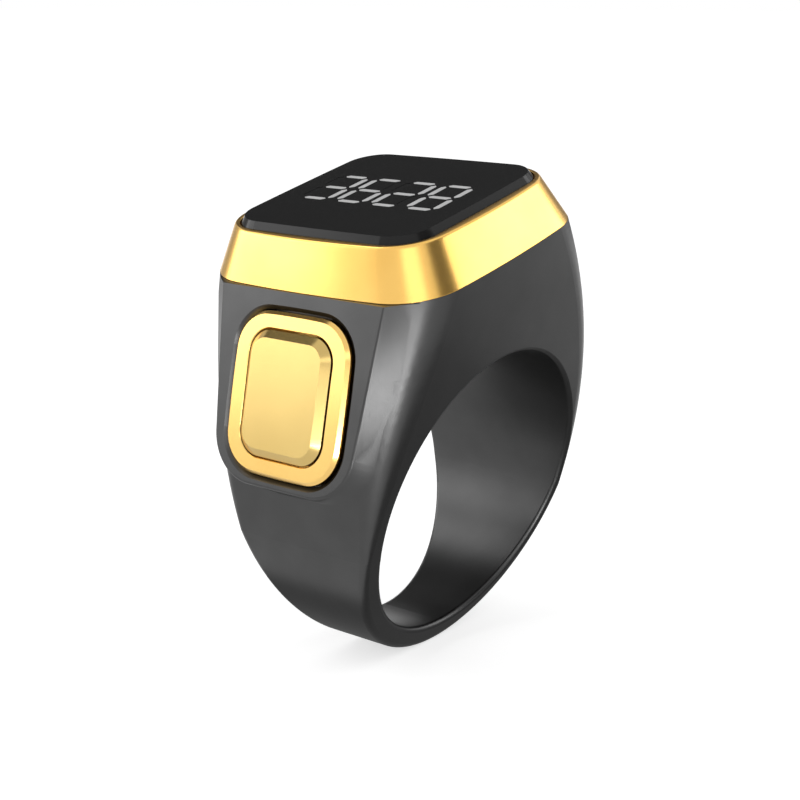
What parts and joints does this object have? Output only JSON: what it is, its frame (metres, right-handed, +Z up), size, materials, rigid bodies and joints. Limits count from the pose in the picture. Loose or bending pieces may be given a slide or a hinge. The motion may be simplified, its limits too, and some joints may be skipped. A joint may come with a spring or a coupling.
{
  "type": "digital tasbih counter",
  "caption": "Finger ring counter with a tilted glass digit display in a raked gold bezel, a gold push button on its front flank and a tapered gunmetal band.",
  "frame": {"origin": "middle of the finger bore", "axes": "+X along the finger bore, +Z up through the display head, -Y towards the push button"},
  "size_m": [0.0194, 0.0251, 0.0331],
  "materials": {
    "satin_gunmetal": "satin anodised",
    "gold_plate": "polished satin plating",
    "dark_glass": "gloss, smoked",
    "black_adhesive": "matte",
    "mask_plastic": "matte",
    "lit_diffuser": "translucent, lit",
    "dark_diffuser": "translucent, unlit",
    "led_die": "clear resin",
    "board_laminate": "solder mask",
    "chip_epoxy": "matte",
    "crystal_can": "plated lid",
    "antenna_ceramic": "fired",
    "connector_plastic": "moulded",
    "capacitor_ceramic": "fired",
    "cell_pouch": "laminate foil",
    "nickel_tab": "rolled",
    "foam_pad": "foam",
    "motor_steel": "drawn",
    "motor_magnet": "sintered",
    "motor_weight": "sintered",
    "contact_gold": "hard gold",
    "contact_plastic": "moulded",
    "silicone": "matte",
    "switch_plastic": "moulded",
    "plunger_plastic": "moulded",
    "spring_steel": "polished",
    "polyimide_flex": "film"
  },
  "bodies": {
    "ring": {"ring_body": "satin_gunmetal", "bezel_frame": "gold_plate", "display_window": "dark_glass", "window_adhesive": "black_adhesive", "segment_mask": "mask_plastic", "lit_segments": "lit_diffuser", "dark_segments": "dark_diffuser", "led_chips": "led_die", "display_board": "board_laminate", "main_board": "board_laminate", "controller_chip": "chip_epoxy", "power_chip": "chip_epoxy", "clock_crystal": "crystal_can", "antenna_chip": "antenna_ceramic", "flex_socket": "connector_plastic", "board_header": "connector_plastic", "capacitors": "capacitor_ceramic", "cell_pad": "foam_pad", "lithium_cell": "cell_pouch", "cell_tabs": "nickel_tab", "button_trim": "gold_plate", "button_seal": "silicone", "switch_flex": "polyimide_flex", "motor_base": "motor_steel", "motor_can": "motor_steel", "motor_shaft": "motor_steel", "motor_magnet": "motor_magnet", "charge_contacts": "contact_gold", "contact_holder": "contact_plastic", "switch_body": "switch_plastic", "snap_dome": "spring_steel"},
    "button": {"button_cap": "gold_plate"},
    "plunger": {"switch_plunger": "plunger_plastic"},
    "rotor": {"motor_rotor": "motor_weight"}
  },
  "joints": [
    {"name": "button_press", "type": "slide", "parent": "ring", "child": "button", "axis": [0, 0.9788, -0.205], "range_m": [0, 0.0002], "stiffness_N_per_m": 5000, "deforming": ["button_seal", "snap_dome"]},
    {"name": "plunger_press", "type": "slide", "parent": "ring", "child": "plunger", "axis": [0, 0.9788, -0.205], "range_m": [0, 0.0002]},
    {"name": "motor_spin", "type": "hinge", "parent": "ring", "child": "rotor", "pos_m": [0, 0.00305, 0.0134], "axis": [0, -0.2207, 0.9753], "continuous": true}
  ],
  "couplings": [
    {"joint": "plunger_press", "follows": "button_press", "ratio": 1}
  ]
}
